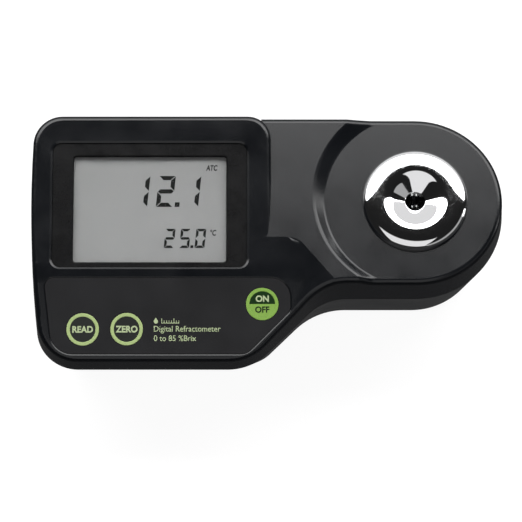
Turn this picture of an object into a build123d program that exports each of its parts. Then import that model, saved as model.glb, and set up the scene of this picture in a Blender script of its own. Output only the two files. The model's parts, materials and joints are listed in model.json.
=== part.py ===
from build123d import *
import os
from math import cos, radians, sin, sqrt, tan

# A handheld digital refractometer. X runs along the instrument towards its sample well, Y from the
# user towards the back, Z up. The origin is the middle of the footprint, on the table. Millimetres.

os.makedirs("parts", exist_ok=True)

# ---------------------------------------------------------------- driving dimensions
LENGTH, DEPTH, HEIGHT = 192.0, 102.0, 67.0
RIGHT, LEFT = LENGTH / 2, -LENGTH / 2
BACK, FRONT = DEPTH / 2, -DEPTH / 2
FAR = 130.0  # beyond the case in every direction
OVERLAP = 5.0  # how far forms reach past the faces that trim them

ARM_R = 36.0  # round end of the arm
WELL_X, WELL_Y = RIGHT - ARM_R, BACK - ARM_R
ARM_FRONT = WELL_Y - ARM_R
DIAGONAL = 44.5  # the 45 degree flank lies on x - y = DIAGONAL
LEFT_BACK_X, LEFT_FRONT_X, LEFT_BULGE_Y = -94.8, -90.6, 18.0
BACK_LEFT_R, FRONT_LEFT_R, FLANK_R = 13.0, 17.0, 22.0

FOOT_H = 2.0
FLOOR_Z = FOOT_H  # underside of the lower case
PARTING_Z = 44.0  # joint between the two case halves
STAGE_Z = 61.0  # round pad that carries the sample well
DECK_Z = STAGE_Z + 2.3  # flat between the pad and the display block
WALL = 2.8
TOP_DRAFT = 3.0
RIM_R = 2.2  # rounding of the crown's outer rim
PARTING_EASE = 0.3  # chamfer along the joint
UPRIGHT = 0.12  # a face whose normal rises less than this is a side wall
TAPER, FRONT_TAPER = 8.1, 15.5  # how far the lower case draws in at its floor, and at its front
FLOOR_R = 7.0

CREST_Y = -1.0  # the display slope crosses the deck height here
BEND_Y, BEND_R = -15.8, 60.0  # display slope behind this line, keypad slope in front of it
DISPLAY_TILT, KEYPAD_TILT = 4.4, 12.2
BEND_Z = DECK_Z + (BEND_Y - CREST_Y) * tan(radians(DISPLAY_TILT))
BLOCK_RIGHT, BLOCK_CORNER_R = 2.8, 10.5  # right side of the raised display block
FLANK_TOP, FLANK_HEADING, FLANK_SLOPE, FLANK_BLEND_R = (14.0, -3.0), 50.2, 12.0, 15.0
FLANK_FOOT = [(11.9, -27.6, 59.6), (16.8, -15.8, 62.0), (14.3, -6.4, 62.9)]  # on its lower edges
STEP_R, STEP_FLARE, STEP_BACK_SHIFT = 36.9, 4.1, 2.0  # curved step from the deck down to the pad
STEP_TOP_R, STEP_FOOT_R = 2.6, 1.5

BEZEL_W, BEZEL_H, BEZEL_R, BEZEL_AT = 78.6, 51.9, 3.5, (-47.2, 13.35)  # recess round the display
WINDOW_W, WINDOW_H, WINDOW_R, WINDOW_AT = 61.6, 43.9, 1.2, (-47.1, 11.75)
FRAME_W, FRAME_H, FRAME_R, FRAME_AT = 83.4, 59.4, 3.0, (-47.6, 12.2)  # thick frame under the recess
RECESS_EASE, OVERLAY_EASE, EASE_ANGLE = 0.4, 0.2, 65.0  # depth and angle of the shallow eased rims
BEZEL_DEPTH, BEZEL_DROP, BEZEL_GAP, BEZEL_EASE = 2.0, 0.9, 0.2, 0.5
LENS_T, LENS_MARGIN = 1.0, 1.6
SEAT_GAP = 0.4  # clearance of the lens and the LCD glass in their opening
PAD_DEPTH = 4.4  # underside of the thick frame round the display opening
LCD_TOP, LCD_T = -3.3, 1.8
HOLDER_W, HOLDER_H, HOLDER_T, HOLDER_AT = 65.6, 58.6, 1.5, (-47.5, 11.8)
HOLDER_OPENING = (54.0, 32.0)
STRIP_W, STRIP_H, STRIP_V = 60.0, 2.4, 20.5  # contact strips between the glass and the board
BOARD_W, BOARD_H, BOARD_AT, BOARD_TOP, BOARD_T = 64.5, 58.4, (-47.3, 11.8), -8.0, 1.6
BOARD_SCREWS = [(WINDOW_AT[0] + dx, v) for dx in (-25, 25) for v in (-14.6, 38.2)]
CHIP_W, CHIP_AT, CHIP_H = 12.0, (-50.0, 14.0), 1.4

KEY_R, KEY_GAP, KEY_T = 6.55, 0.15, 1.2
KEYS = {"key_read": (-73.7, -22.9), "key_zero": (-56.1, -22.8), "key_on_off": (-1.8, -12.7)}
OVERLAY_T, OVERLAY_GAP = 1.0, 0.25
OVERLAY = [  # x, y and corner radius of the keypad film
    (-89.3, -2.2, 3.5),
    (9.4, -2.2, 8.0),
    (9.4, -15.3, 4.0),
    (-8.0, -32.7, 6.0),
    (-85.8, -32.7, 9.0),
]
PLUNGER_R, DOME_R, DOME_H, DOME_T, DOME_GAP = 2.5, 4.2, 0.45, 0.15, 0.05
KEY_WELL_D, RUNNING_GAP = 1.75, 0.3
DOME_SPHERE = (DOME_R**2 + DOME_H**2) / (2 * DOME_H)
KEYBOARD_TOP, KEYBOARD_T = -3.75, 1.0
KEYBOARD = [(-79.5, -16), (-79.5, -30), (-12, -30), (6, -14), (6, -6), (-9, -6), (-15, -16)]
KEYBOARD_SCREWS = [(-64.9, -22.9), (-40, -24), (-12, -21)]

RING_R, RING_CREST_R, RING_H, RING_NECK_R, RING_LIP, RING_BORE_R = 21.2, 13.0, 4.0, 17.2, 0.4, 11.0
BOWL_SLOPE, BOWL_CONE, APERTURE_LIP = 30.0, 5.2, 2.0  # cone round the sample window
WELL_SEAL_R, PRISM_SEAL_R, SEAL_W, GROOVE_W = 19.0, 5.5, 1.3, 1.4
APERTURE_R, WINDOW_Z, NECK_Z = 4.0, 58.7, 57.0  # sample window, and how far the ring reaches down
BEAM = 31.3  # slope of the two light paths, degrees
PRISM_W, PRISM_Y, PRISM_Z = 14.8, 12.0, 47.5
OPTICS_TOP, OPTICS_LOW, OPTICS_Y, OPTICS_END = 54.0, 36.0, 22.0, 26.0
OPTICS_SCREW_R, OPTICS_SCREW_ANGLES = 21.5, (90, 135, 225, 270)
OPTICS_BORE_R, OPTICS_PLATE_R, PRISM_GAP = 4.0, 17.0, 0.15
PROBE_R, PROBE_H, PROBE_Z = 1.2, 4.2, 51.0
LAMP_BOARD_W, LAMP_BOARD_H, LAMP_BOARD_T = 20.0, 14.0, 1.2  # boards at both ends of the light path
LED_AT, LED_R, LED_L, LED_TIP_R, LED_FLANGE_R, LED_FLANGE_T = 20.0, 2.5, 5.0, 2.4, 2.9, 1.0
LENS_AT, LENS_R, LENS_BULGE, LENS_WAIST, LENS_EDGE = 14.0, 3.85, 2.6, (2.2, 2.0), 1.0
SLIT_AT, SLIT_W, SLIT_H, SLIT_T = 17.8, 5.0, 1.2, 0.5
SENSOR_W, SENSOR_H, SENSOR_T = 4.6, 5.6, 1.6

BATTERY_X, BATTERY_Y = 12.5, WELL_Y
CELL_X, CELL_Y, CELL_Z0, CELL_Z1 = 17.5, 26.5, 5.8, 51.8
TUBE_R, CELL_R, TUBE_TOP = 19.0, 17.0, 57.8
LEAD_Z = 53.4
COVER_R, COVER_T, HATCH_R = 20.0, 1.8, 20.4
FLANGE_R, FLANGE_Z = 22.0, 12.0
SKIRT_R, SOCKET_R, LUG_R, TRACK_R = 17.9, 18.2, 19.3, 19.6
LUG_Z, LUG_H, LUG_ARC, TRACK_GAP = 9.1, 1.8, 18.0, 0.3
COVER_TURN, COVER_DROP = 90.0, 5.4  # the quarter turn that frees the cover, and how far it comes down
SKIRT_H, SKIRT_T, TRACK_START, TRACK_ARC = 7.2, 2.3, -102.0, 114.0
COIN_SLOT, GRIP_R, GRIP, GRIP_D = (22.0, 2.4), 16.2, (7.0, 4.4), 0.9  # recesses under the cover
PAD_R = 13.0  # foam that holds the battery up
STUD_R, STUD_H, STUD_SPACING, SOCKET_SIZE = 2.9, 2.4, 6.35, 4.2  # terminals of the battery
SNAP_X, SNAP_Y, SNAP_GAP, SNAP_RIM_H, SNAP_TOP_T, SNAP_HOLE_R = 15.0, 25.0, 0.3, 2.2, 1.0, 4.6

CASE_SCREWS = [(-84.3, 30), (-9, 35), (-65, -24), (-20, -22)]  # under the block, then under the arm
CASE_SCREWS += [(36, 32), (36, -2), (73.2, 33.8), (73.2, -3.8)]
BOSS_R, COLUMN_R, SCREW_R, SCREW_HEAD_R, SCREW_SEAT = 3.5, 4.0, 1.45, 2.75, 34.0
SCREW_L, SCREW_HEAD_H, SCREW_CROSS, SCREW_CROSS_W, SCREW_CROSS_D = 18.0, 2.2, 3.4, 0.7, 1.2
SCREW_HOLE_D = 9.0  # depth of the threaded holes in the upper case
SHANK_GAP, HEAD_GAP = 0.15, 0.25  # round the case screws in their columns
SMALL_SCREW_GAP, SMALL_SCREW_PASS = 0.05, 0.2  # round a small screw, in its thread and above it
BOARD_SCREW = (1.0, 2.1, 1.4, 2.6)  # radii of shank and head, height of head, radius of the post
BOARD_SCREW_TOP, BOARD_HOLE_D, KEYBOARD_BITE, KEYBOARD_HOLE_D = 2.8, 1.8, 1.8, 2.0
KEYBOARD_SCREW = (0.8, 1.7, 1.1, 2.3)
OPTICS_SCREW = (1.2, 2.4, 1.6, 3.0)
OPTICS_SCREW_L, OPTICS_HOLE_D, OPTICS_ARM_W = 5.8, 3.0, 6.4
FEET = [(-72, 29), (-68, -21.5), (66, 27), (66, 3)]
FOOT_R, FOOT_SINK, FOOT_GAP, FOOT_EASE = 5.0, 0.8, 0.1, 0.6
GROOVE_OUT, GROOVE_IN, GROOVE_D = 0.8, 2.0, 1.1  # gasket groove in the rim of the lower case


def slope(y, z, tilt):
    """Plane through height z at depth y that falls towards the user by tilt degrees."""
    t = radians(tilt)
    return Plane(origin=(0, y, z), x_dir=(1, 0, 0), z_dir=(0, -sin(t), cos(t)))


DISPLAY = slope(CREST_Y, DECK_Z, DISPLAY_TILT)
KEYPAD = slope(BEND_Y, BEND_Z, KEYPAD_TILT)
WELL = (WELL_X, WELL_Y)
BATTERY = (BATTERY_X, BATTERY_Y)
OPTICS_SCREWS = [
    (WELL_X + OPTICS_SCREW_R * cos(radians(a)), WELL_Y + OPTICS_SCREW_R * sin(radians(a)))
    for a in OPTICS_SCREW_ANGLES
]

# ---------------------------------------------------------------- case forms


def case_face(inset=0.0, front_inset=0.0):
    """Outline of the case in plan, drawn in by inset, and by front_inset more at the block's front."""
    front, arm_front, back = FRONT + inset + front_inset, ARM_FRONT + inset, BACK - inset
    flank = DIAGONAL - inset * sqrt(2)
    back_left, front_left = (LEFT_BACK_X + inset, back), (LEFT_FRONT_X + inset, front)
    flank_front, flank_arm = (front + flank, front), (arm_front + flank, arm_front)
    with BuildSketch() as outline:
        with BuildLine():
            Line((WELL_X, back), back_left)
            ThreePointArc(back_left, (LEFT + inset, LEFT_BULGE_Y), front_left)
            Polyline(front_left, flank_front, flank_arm, (WELL_X, arm_front))
            ThreePointArc((WELL_X, arm_front), (RIGHT - inset, WELL_Y), (WELL_X, back))
        make_face()
        for corner, radius in (
            (back_left, BACK_LEFT_R - inset),
            (front_left, FRONT_LEFT_R - inset),
            (flank_front, FLANK_R - inset),
            (flank_arm, FLANK_R + inset),
        ):
            fillet(outline.vertices().sort_by_distance(corner)[0], radius)
    return outline.sketch


def above_block(drop=0.0):
    """Everything above the two slopes of the display block, lowered by drop."""
    y0, y1 = -FAR, FAR
    bend = (BEND_Y, BEND_Z - drop)
    with BuildPart() as space:
        with BuildSketch(Plane.YZ.offset(-FAR)) as profile:
            with BuildLine():
                Polyline(
                    (y0, bend[1] + (y0 - BEND_Y) * tan(radians(KEYPAD_TILT))),
                    bend,
                    (y1, bend[1] + (y1 - BEND_Y) * tan(radians(DISPLAY_TILT))),
                    (y1, FAR),
                    (y0, FAR),
                    close=True,
                )
            make_face()
            fillet(profile.vertices().sort_by_distance(bend)[0], BEND_R)
        extrude(amount=2 * FAR)
    return space.part


def above_flank(drop=0.0):
    """Everything above the gentle flank that leads from the deck down to the keypad."""
    h, s = radians(FLANK_HEADING), radians(FLANK_SLOPE)
    downhill = Vector(-sin(h), -cos(h), 0)
    face = Plane(
        origin=(*FLANK_TOP, DECK_Z - drop),
        x_dir=(cos(h), -sin(h), 0),
        z_dir=Vector(0, 0, 1) * cos(s) + downhill * sin(s),
    )
    with BuildPart() as space:
        with BuildSketch(face):
            Rectangle(4 * FAR, 4 * FAR)
        extrude(amount=FAR)
    return space.part


def above_stage(drop=0.0):
    """Everything above the round pad, with the curved step up to the deck around its left side."""
    rise = DECK_Z - STAGE_Z
    with BuildPart() as space:
        with BuildSketch(Plane.XY.offset(STAGE_Z - drop)):
            with Locations((WELL_X, WELL_Y)):
                Circle(STEP_R + drop)
        with BuildSketch(Plane.XY.offset(STAGE_Z + 2 * rise - drop)):
            with Locations((WELL_X, WELL_Y + 2 * STEP_BACK_SHIFT)):
                Circle(STEP_R + 2 * STEP_FLARE + drop)
        loft()
        with BuildSketch(Plane.XY.offset(STAGE_Z - drop)):
            with Locations((WELL_X, WELL_Y)):
                Rectangle(FAR, 2 * FAR, align=(Align.MIN, Align.CENTER))
        extrude(amount=FAR)
    return space.part


def rim_edges(form, right_of=-FAR):
    """Edges where the drafted side walls of form meet its crown, right of the given X."""
    upright = [f for f in form.faces() if abs(f.normal_at(f.center()).Z) < UPRIGHT]
    crown = [f for f in form.faces() if f not in upright and f.center().Z > PARTING_Z + 1]
    wall_edges = ShapeList(e for f in upright for e in f.edges())
    return ShapeList(e for f in crown for e in f.edges() if e in wall_edges and e.center().X > right_of)


def block_form(inset=0.0):
    """Left part of the upper case: the display block, from the joint up to its two slopes."""
    with BuildPart() as block:
        with BuildSketch(Plane.XY.offset(PARTING_Z)) as plan:
            add(case_face(inset))
            with Locations((BLOCK_RIGHT - inset, 0)):
                Rectangle(FAR, 2 * FAR, align=(Align.MIN, Align.CENTER), mode=Mode.SUBTRACT)
            fillet(plan.vertices().group_by(Axis.X)[-1].sort_by(Axis.Y)[-1], BLOCK_CORNER_R - inset)
        extrude(amount=HEIGHT - PARTING_Z + OVERLAP, taper=TOP_DRAFT)
        add(above_block(inset), mode=Mode.SUBTRACT)
        if inset == 0:
            fillet(rim_edges(block), RIM_R)
    return block.part


def deck_form(inset=0.0):
    """Right part of the upper case: deck, flank and round pad, reaching a little into the block."""
    join_x = BLOCK_RIGHT - OVERLAP - inset
    with BuildPart() as deck:
        with BuildSketch(Plane.XY.offset(PARTING_Z)):
            add(case_face(inset))
        extrude(amount=HEIGHT - PARTING_Z + OVERLAP, taper=TOP_DRAFT)
        with BuildSketch(Plane.XY.offset(DECK_Z - inset)):
            Rectangle(2 * FAR, 2 * FAR)
        extrude(amount=FAR, mode=Mode.SUBTRACT)
        add(above_block(inset) & above_flank(inset), mode=Mode.SUBTRACT)
        add(above_stage(inset), mode=Mode.SUBTRACT)
        split(bisect_by=Plane.YZ.offset(join_x), keep=Keep.TOP)
        if inset == 0:
            curved = deck.faces().filter_by(GeomType.BSPLINE)[0]
            fillet(curved.edges().group_by(Axis.Z)[-1].sort_by(SortBy.LENGTH)[-1], STEP_TOP_R)
            pad = deck.faces().sort_by_distance((WELL_X, WELL_Y, STAGE_Z))[0]
            fillet(pad.edges().filter_by(GeomType.CIRCLE).sort_by(Axis.X)[0], STEP_FOOT_R)
            fillet([deck.edges().sort_by_distance(p)[0] for p in FLANK_FOOT], FLANK_BLEND_R)
            fillet(rim_edges(deck, join_x + 0.1), RIM_R)
    return deck.part


def lower_form(inset=0.0):
    """Lower case from its floor to the joint, drawing in towards the floor."""
    floor = FLOOR_Z + inset
    drawn = (PARTING_Z - floor) / (PARTING_Z - FLOOR_Z)
    front_extra = (FRONT_TAPER - TAPER) * drawn
    with BuildPart() as lower:
        with BuildSketch(Plane.XY.offset(floor)):
            add(case_face(inset + TAPER * drawn, front_extra))
        with BuildSketch(Plane.XY.offset(PARTING_Z)):
            add(case_face(inset))
        loft(ruled=True)
        fillet(lower.edges().group_by(Axis.Z)[0], FLOOR_R - inset)
    return lower.part


def drawn_plate(plane, outline):
    """Sketch on plane of a polygon given as (x, y, corner radius)."""
    with BuildSketch(plane) as plate:
        with BuildLine():
            Polyline(*[(x, y) for x, y, _ in outline], close=True)
        make_face()
        for x, y, radius in outline:
            corner = plane.from_local_coords((x, y, 0))
            fillet(plate.vertices().sort_by_distance(corner)[0], radius)
    return plate.sketch


def beam_plane(side, distance):
    """Plane square to the light path on one side of the prism, facing away from it."""
    out = Vector(side * cos(radians(BEAM)), 0, -sin(radians(BEAM)))
    return Plane(origin=Vector(WELL_X, WELL_Y, WINDOW_Z) + out * distance, x_dir=(0, 1, 0), z_dir=out)


def thread_bar(around, start, arc, inner, outer, height):
    """Helical bar about the battery's axis, for a bayonet lug or the track it runs in."""
    lead = COVER_DROP * 360 / COVER_TURN
    with BuildPart() as bar:
        with BuildLine(Plane(origin=(*BATTERY, LUG_Z + lead * start / 360))) as path:
            Helix(pitch=lead, height=lead * arc / 360, radius=(inner + outer) / 2)
        with BuildSketch(Plane(origin=path.line @ 0, x_dir=(1, 0, 0), z_dir=path.line % 0)):
            Rectangle(outer - inner, height)
        sweep(path=path.line, is_frenet=True)
    return bar.part.rotate(Axis(origin=(*BATTERY, 0), direction=(0, 0, 1)), around + start)


def case_screw_circles(radius):
    """Circles at the case screws, on the current sketch."""
    with Locations(*CASE_SCREWS):
        Circle(radius)


# ---------------------------------------------------------------- upper case

crown = block_form().fuse(deck_form(), tol=0.005)
hollow = block_form(WALL) + deck_form(WALL)

with BuildPart() as crown_cavity:
    add(hollow)
    with BuildSketch(Plane.XY.offset(PARTING_Z - 1)):
        case_screw_circles(BOSS_R)
    extrude(amount=FAR, mode=Mode.SUBTRACT)
    with BuildSketch(DISPLAY.offset(-PAD_DEPTH)):  # thick frame round the display opening
        with Locations(FRAME_AT):
            RectangleRounded(FRAME_W, FRAME_H, FRAME_R)
    extrude(amount=PAD_DEPTH, mode=Mode.SUBTRACT)
    with BuildSketch(KEYPAD.offset(KEYBOARD_TOP)):  # posts for the key board
        with Locations(*KEYBOARD_SCREWS):
            Circle(KEYBOARD_SCREW[3])
    extrude(amount=-KEYBOARD_TOP, mode=Mode.SUBTRACT)
    with BuildSketch(Plane.XY.offset(NECK_Z)):  # posts for the optics
        with Locations(*OPTICS_SCREWS):
            Circle(OPTICS_SCREW[3])
    extrude(amount=WALL, mode=Mode.SUBTRACT)

with BuildPart() as top_shell:
    add(crown)
    chamfer(top_shell.edges().group_by(Axis.Z)[0], PARTING_EASE)
    add(crown_cavity.part, mode=Mode.SUBTRACT)
    with BuildSketch(DISPLAY.offset(-BEZEL_DEPTH)):
        with Locations(BEZEL_AT):
            RectangleRounded(BEZEL_W, BEZEL_H, BEZEL_R)
    extrude(amount=2 * BEZEL_DEPTH, mode=Mode.SUBTRACT)
    with BuildSketch(DISPLAY.offset(-RECESS_EASE)):
        with Locations(BEZEL_AT):
            RectangleRounded(BEZEL_W, BEZEL_H, BEZEL_R)
    extrude(amount=2 * RECESS_EASE, taper=-EASE_ANGLE, mode=Mode.SUBTRACT)
    with BuildSketch(DISPLAY.offset(-PAD_DEPTH - 1)):
        with Locations(WINDOW_AT):
            RectangleRounded(WINDOW_W + 2 * LENS_MARGIN, WINDOW_H + 2 * LENS_MARGIN, 1)
    extrude(amount=PAD_DEPTH, mode=Mode.SUBTRACT)
    with BuildSketch(KEYPAD.offset(-OVERLAY_T)):
        add(drawn_plate(Plane.XY, OVERLAY))
        offset(amount=OVERLAY_GAP)
    extrude(amount=2 * OVERLAY_T, mode=Mode.SUBTRACT)
    with BuildSketch(KEYPAD.offset(-OVERLAY_EASE)):
        add(drawn_plate(Plane.XY, OVERLAY))
        offset(amount=OVERLAY_GAP)
    extrude(amount=2 * OVERLAY_EASE, taper=-EASE_ANGLE, mode=Mode.SUBTRACT)
    with BuildSketch(KEYPAD.offset(-KEY_WELL_D)):
        with Locations(*KEYS.values()):
            Circle(KEY_R + 2 * KEY_GAP)
    extrude(amount=OVERLAY_T, mode=Mode.SUBTRACT)
    with BuildSketch(KEYPAD.offset(-WALL - 1)):
        with Locations(*KEYS.values()):
            Circle(PLUNGER_R + RUNNING_GAP)
    extrude(amount=WALL, mode=Mode.SUBTRACT)
    with BuildSketch(Plane.XY.offset(NECK_Z)):
        with Locations(WELL):
            Circle(RING_NECK_R + RUNNING_GAP)
    extrude(amount=HEIGHT, mode=Mode.SUBTRACT)
    with BuildSketch(Plane.XY.offset(NECK_Z)):
        with Locations(*OPTICS_SCREWS):
            Circle(OPTICS_SCREW[0] + SMALL_SCREW_GAP)
    extrude(amount=OPTICS_HOLE_D, mode=Mode.SUBTRACT)
    with BuildSketch(Plane.XY.offset(PARTING_Z)):
        case_screw_circles(SCREW_R + SMALL_SCREW_GAP)
    extrude(amount=SCREW_HOLE_D, mode=Mode.SUBTRACT)
    with BuildSketch(DISPLAY.offset(-PAD_DEPTH)):
        with Locations(*BOARD_SCREWS):
            Circle(BOARD_SCREW[0] + SMALL_SCREW_GAP)
    extrude(amount=BOARD_HOLE_D, mode=Mode.SUBTRACT)
    with BuildSketch(KEYPAD.offset(KEYBOARD_TOP)):
        with Locations(*KEYBOARD_SCREWS):
            Circle(KEYBOARD_SCREW[0] + SMALL_SCREW_GAP)
    extrude(amount=KEYBOARD_HOLE_D, mode=Mode.SUBTRACT)
top_shell.part.label = "top_shell"
export_step(top_shell.part, "parts/top_shell.step")


# ---------------------------------------------------------------- lower case

with BuildPart() as floor_cavity:
    add(lower_form(WALL))
    with BuildSketch(Plane.XY):
        case_screw_circles(COLUMN_R)
    extrude(amount=PARTING_Z, mode=Mode.SUBTRACT)

with BuildPart() as bottom_shell:
    add(lower_form())
    add(floor_cavity.part, mode=Mode.SUBTRACT)
    with BuildSketch(Plane.XY.offset(PARTING_Z - GROOVE_D)):
        add(case_face(GROOVE_OUT))
        add(case_face(GROOVE_IN), mode=Mode.SUBTRACT)
    extrude(amount=GROOVE_D, mode=Mode.SUBTRACT)
    with BuildSketch(Plane.XY):
        case_screw_circles(SCREW_R + SHANK_GAP)
        with Locations(BATTERY):
            Circle(HATCH_R)
    extrude(amount=PARTING_Z, mode=Mode.SUBTRACT)
    with BuildSketch(Plane.XY):
        case_screw_circles(SCREW_HEAD_R + HEAD_GAP)
    extrude(amount=SCREW_SEAT, mode=Mode.SUBTRACT)
    with BuildSketch(Plane.XY):
        with Locations(*FEET):
            Circle(FOOT_R + FOOT_GAP)
    extrude(amount=FLOOR_Z + FOOT_SINK, mode=Mode.SUBTRACT)
bottom_shell.part.label = "bottom_shell"
export_step(bottom_shell.part, "parts/bottom_shell.step")

with BuildPart() as case_gasket:
    with BuildSketch(Plane.XY.offset(PARTING_Z - GROOVE_D)):
        add(case_face(GROOVE_OUT + 0.1))
        add(case_face(GROOVE_IN - 0.1), mode=Mode.SUBTRACT)
    extrude(amount=GROOVE_D)
case_gasket.part.label = "case_gasket"
export_step(case_gasket.part, "parts/case_gasket.step")

with BuildPart() as case_screws:
    with BuildSketch(Plane.XY.offset(SCREW_SEAT)):
        case_screw_circles(SCREW_R)
    extrude(amount=SCREW_L)
    with BuildSketch(Plane.XY.offset(SCREW_SEAT)):
        case_screw_circles(SCREW_HEAD_R)
    extrude(amount=-SCREW_HEAD_H)
    with BuildSketch(Plane.XY.offset(SCREW_SEAT - SCREW_HEAD_H)):
        with Locations(*CASE_SCREWS):
            Rectangle(SCREW_CROSS, SCREW_CROSS_W)
            Rectangle(SCREW_CROSS_W, SCREW_CROSS)
    extrude(amount=SCREW_CROSS_D, mode=Mode.SUBTRACT)
case_screws.part.label = "case_screws"
export_step(case_screws.part, "parts/case_screws.step")

with BuildPart() as rubber_feet:
    with BuildSketch():
        with Locations(*FEET):
            Circle(FOOT_R)
    extrude(amount=FLOOR_Z + FOOT_SINK)
    fillet(rubber_feet.edges().group_by(Axis.Z)[0], FOOT_EASE)
rubber_feet.part.label = "rubber_feet"
export_step(rubber_feet.part, "parts/rubber_feet.step")

# ---------------------------------------------------------------- display

with BuildPart() as display_bezel:
    with BuildSketch(DISPLAY.offset(-BEZEL_DEPTH)):
        with Locations(BEZEL_AT):
            RectangleRounded(BEZEL_W - 2 * BEZEL_GAP, BEZEL_H - 2 * BEZEL_GAP, BEZEL_R - BEZEL_GAP)
        with Locations(WINDOW_AT):
            RectangleRounded(WINDOW_W, WINDOW_H, WINDOW_R, mode=Mode.SUBTRACT)
    extrude(amount=BEZEL_DEPTH - BEZEL_DROP)
    face = display_bezel.faces().sort_by(Axis(DISPLAY.origin, DISPLAY.z_dir))[-1]
    chamfer(face.inner_wires()[0].edges(), BEZEL_EASE)
display_bezel.part.label = "display_bezel"
export_step(display_bezel.part, "parts/display_bezel.step")

with BuildPart() as display_window:
    with BuildSketch(DISPLAY.offset(-BEZEL_DEPTH)):
        with Locations(WINDOW_AT):
            side = 2 * LENS_MARGIN - SEAT_GAP
            RectangleRounded(WINDOW_W + side, WINDOW_H + side, 0.8)
    extrude(amount=-LENS_T)
display_window.part.label = "display_window"
export_step(display_window.part, "parts/display_window.step")

with BuildPart() as lcd_panel:
    with BuildSketch(DISPLAY.offset(LCD_TOP)):
        with Locations(WINDOW_AT):
            side = 2 * LENS_MARGIN - 2 * SEAT_GAP
            Rectangle(WINDOW_W + side, WINDOW_H + side)
    extrude(amount=-LCD_T)
lcd_panel.part.label = "lcd_panel"
export_step(lcd_panel.part, "parts/lcd_panel.step")

LCD_LOW = LCD_TOP - LCD_T
STRIPS = [(WINDOW_AT[0], WINDOW_AT[1] + dv) for dv in (-STRIP_V, STRIP_V)]

with BuildPart() as lcd_holder:
    with BuildSketch(DISPLAY.offset(LCD_LOW)):
        with Locations(HOLDER_AT):
            RectangleRounded(HOLDER_W, HOLDER_H, 2)
        with Locations(WINDOW_AT):
            Rectangle(*HOLDER_OPENING, mode=Mode.SUBTRACT)
        with Locations(*STRIPS):
            Rectangle(STRIP_W + 2 * RUNNING_GAP, STRIP_H + 2 * RUNNING_GAP, mode=Mode.SUBTRACT)
    extrude(amount=-HOLDER_T)
    with BuildSketch(DISPLAY.offset(BOARD_TOP)):
        with Locations(*BOARD_SCREWS):
            Circle(BOARD_SCREW[3])
    extrude(amount=-BOARD_TOP - PAD_DEPTH)
    with BuildSketch(DISPLAY.offset(BOARD_TOP)):
        with Locations(*BOARD_SCREWS):
            Circle(BOARD_SCREW[0] + SMALL_SCREW_PASS)
    extrude(amount=-BOARD_TOP, mode=Mode.SUBTRACT)
lcd_holder.part.label = "lcd_holder"
export_step(lcd_holder.part, "parts/lcd_holder.step")

with BuildPart() as contact_strips:
    with BuildSketch(DISPLAY.offset(LCD_LOW)):
        with Locations(*STRIPS):
            Rectangle(STRIP_W, STRIP_H)
    extrude(amount=BOARD_TOP - LCD_LOW)
contact_strips.part.label = "contact_strips"
export_step(contact_strips.part, "parts/contact_strips.step")

# ---------------------------------------------------------------- main board

BOARD_LOW = BOARD_TOP - BOARD_T

with BuildPart() as main_board:
    with BuildSketch(DISPLAY.offset(BOARD_TOP)):
        with Locations(BOARD_AT):
            RectangleRounded(BOARD_W, BOARD_H, 1.5)
        with Locations(*BOARD_SCREWS):
            Circle(BOARD_SCREW[0] + SMALL_SCREW_PASS, mode=Mode.SUBTRACT)
    extrude(amount=-BOARD_T)
main_board.part.label = "main_board"
export_step(main_board.part, "parts/main_board.step")

with BuildPart() as board_screws:
    with BuildSketch(DISPLAY.offset(BOARD_LOW)):
        with Locations(*BOARD_SCREWS):
            Circle(BOARD_SCREW[0])
    extrude(amount=-BOARD_LOW - BOARD_SCREW_TOP)
    with BuildSketch(DISPLAY.offset(BOARD_LOW)):
        with Locations(*BOARD_SCREWS):
            Circle(BOARD_SCREW[1])
    extrude(amount=-BOARD_SCREW[2])
board_screws.part.label = "board_screws"
export_step(board_screws.part, "parts/board_screws.step")

with BuildPart() as microcontroller:
    with BuildSketch(DISPLAY.offset(BOARD_LOW)):
        with Locations(CHIP_AT):
            Rectangle(CHIP_W, CHIP_W)
    extrude(amount=-CHIP_H)
    chamfer(microcontroller.edges().filter_by(Axis(DISPLAY.origin, DISPLAY.z_dir)), 0.4)
microcontroller.part.label = "microcontroller"
export_step(microcontroller.part, "parts/microcontroller.step")

with BuildPart() as board_components:
    with BuildSketch(DISPLAY.offset(BOARD_LOW)):
        with Locations((-68, 20), (-30, 26)):  # amplifier and converter
            Rectangle(6, 5)
        with Locations(BOARD_AT):
            with GridLocations(7, 44, 7, 2):  # resistors and capacitors
                Rectangle(2, 1.25)
    extrude(amount=-1.1)
    with BuildSketch(DISPLAY.offset(BOARD_LOW)):
        with Locations((-30, 8), (-68, 4)):  # reservoir capacitors
            Circle(2.6)
    extrude(amount=-5)
board_components.part.label = "board_components"
export_step(board_components.part, "parts/board_components.step")

# ---------------------------------------------------------------- keypad

with BuildPart() as keypad_overlay:
    with BuildSketch(KEYPAD.offset(-OVERLAY_T)):
        add(drawn_plate(Plane.XY, OVERLAY))
        with Locations(*KEYS.values()):
            Circle(KEY_R + KEY_GAP, mode=Mode.SUBTRACT)
    extrude(amount=OVERLAY_T)
keypad_overlay.part.label = "keypad_overlay"
export_step(keypad_overlay.part, "parts/keypad_overlay.step")

for name, place in KEYS.items():
    with BuildPart() as key:
        with BuildSketch(KEYPAD):
            with Locations(place):
                Circle(KEY_R)
        extrude(amount=-KEY_T)
        with BuildSketch(KEYPAD.offset(-KEY_T)):
            with Locations(place):
                Circle(PLUNGER_R)
        extrude(amount=KEYBOARD_TOP + DOME_H + DOME_GAP + KEY_T)
    key.part.label = name
    export_step(key.part, "parts/" + name + ".step")

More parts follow.
